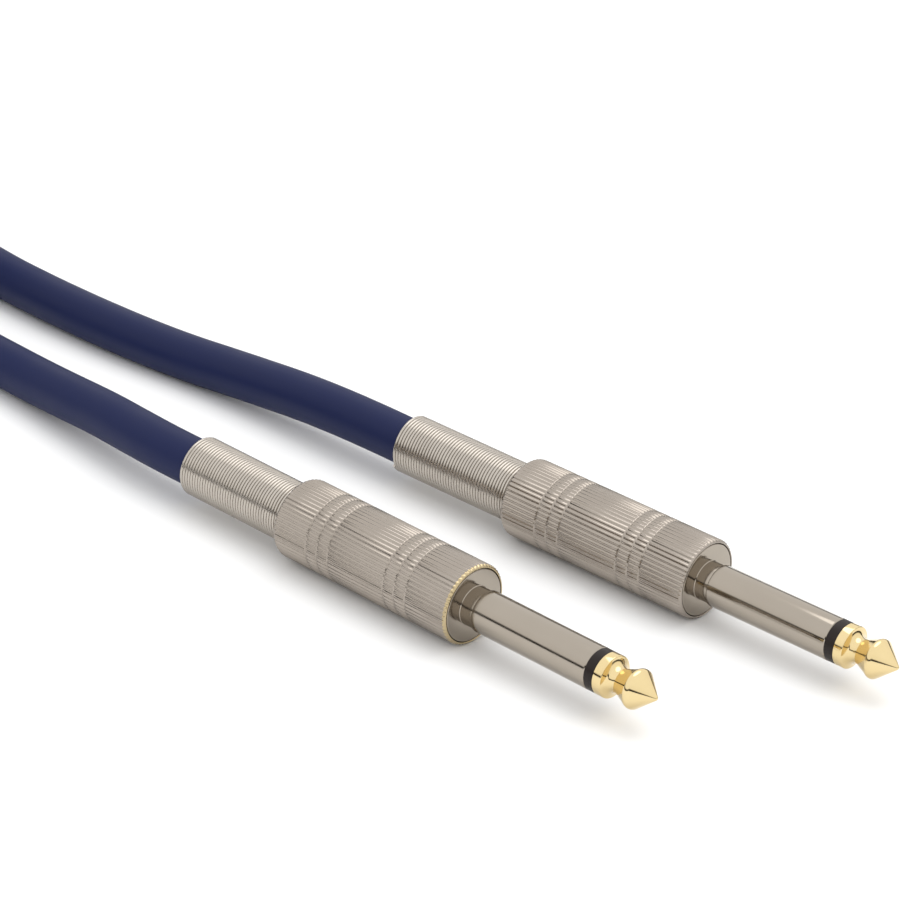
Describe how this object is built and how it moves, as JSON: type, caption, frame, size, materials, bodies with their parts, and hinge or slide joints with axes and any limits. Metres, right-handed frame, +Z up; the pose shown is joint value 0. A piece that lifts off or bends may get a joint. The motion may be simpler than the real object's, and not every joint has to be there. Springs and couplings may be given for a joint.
{
  "type": "instrument cable",
  "caption": "Instrument cable: straight mono plugs with gold tips, ribbed screw-on barrels and spring strain reliefs on a navy cord, spare cord in a hank.",
  "frame": {"origin": "on the floor, at the centre of the box round the two plugs", "axes": "+X the way plug A points, +Z up, plug B lies on the +Y side"},
  "size_m": [0.3293, 0.0696, 0.0459],
  "materials": {
    "gold_plate": "polished gold plate",
    "nickel_plate": "bright nickel plate, slightly warm",
    "spring_wire": "nickel-plated spring wire",
    "brass": "bare brass",
    "copper": "bare copper strands",
    "black_plastic": "black moulded plastic",
    "white_plastic": "natural white plastic",
    "fibre": "red vulcanised fibre",
    "liner_plastic": "milky plastic tube",
    "navy_jacket": "matte navy jacket",
    "strap": "black hook-and-loop strap"
  },
  "bodies": {
    "cable": {"tip_a": "gold_plate", "centre_pin_a": "brass", "insulating_ring_a": "black_plastic", "core_insulator_a": "white_plastic", "sleeve_a": "nickel_plate", "ground_clamp_a": "brass", "fibre_washer_a": "fibre", "tip_lug_a": "brass", "jacket_end_a": "navy_jacket", "shield_a": "copper", "core_wire_a": "white_plastic", "conductor_a": "copper", "tip_b": "gold_plate", "centre_pin_b": "brass", "insulating_ring_b": "black_plastic", "core_insulator_b": "white_plastic", "sleeve_b": "nickel_plate", "ground_clamp_b": "brass", "fibre_washer_b": "fibre", "tip_lug_b": "brass", "jacket_end_b": "navy_jacket", "shield_b": "copper", "core_wire_b": "white_plastic", "conductor_b": "copper", "cord_lead_a": "navy_jacket", "cord_lead_b": "navy_jacket", "cord_hank": "navy_jacket", "hank_tie_1": "strap", "hank_tie_2": "strap"},
    "spring_a": {"spring_a": "spring_wire"},
    "barrel_a": {"barrel_a": "nickel_plate", "liner_a": "liner_plastic"},
    "spring_b": {"spring_b": "spring_wire"},
    "barrel_b": {"barrel_b": "nickel_plate", "liner_b": "liner_plastic"}
  },
  "joints": [
    {"name": "barrel_a_travel", "type": "slide", "parent": "cable", "child": "spring_a", "axis": [-1, 0, 0], "range_m": [0, 0.0045]},
    {"name": "barrel_a_screw", "type": "hinge", "parent": "spring_a", "child": "barrel_a", "pos_m": [-0.03124, -0.0159, 0.00608], "axis": [-1, 0, 0], "range_deg": [0, 2159]},
    {"name": "barrel_b_travel", "type": "slide", "parent": "cable", "child": "spring_b", "axis": [-0.9995, -0.0316, 0], "range_m": [0, 0.0045]},
    {"name": "barrel_b_screw", "type": "hinge", "parent": "spring_b", "child": "barrel_b", "pos_m": [-0.01542, 0.01482, 0.00608], "axis": [-0.9995, -0.0316, 0], "range_deg": [0, 2159]}
  ],
  "couplings": [
    {"joint": "barrel_a_screw", "follows": "barrel_a_travel", "rad_per_m": 8377.6},
    {"joint": "barrel_b_screw", "follows": "barrel_b_travel", "rad_per_m": 8377.6}
  ]
}
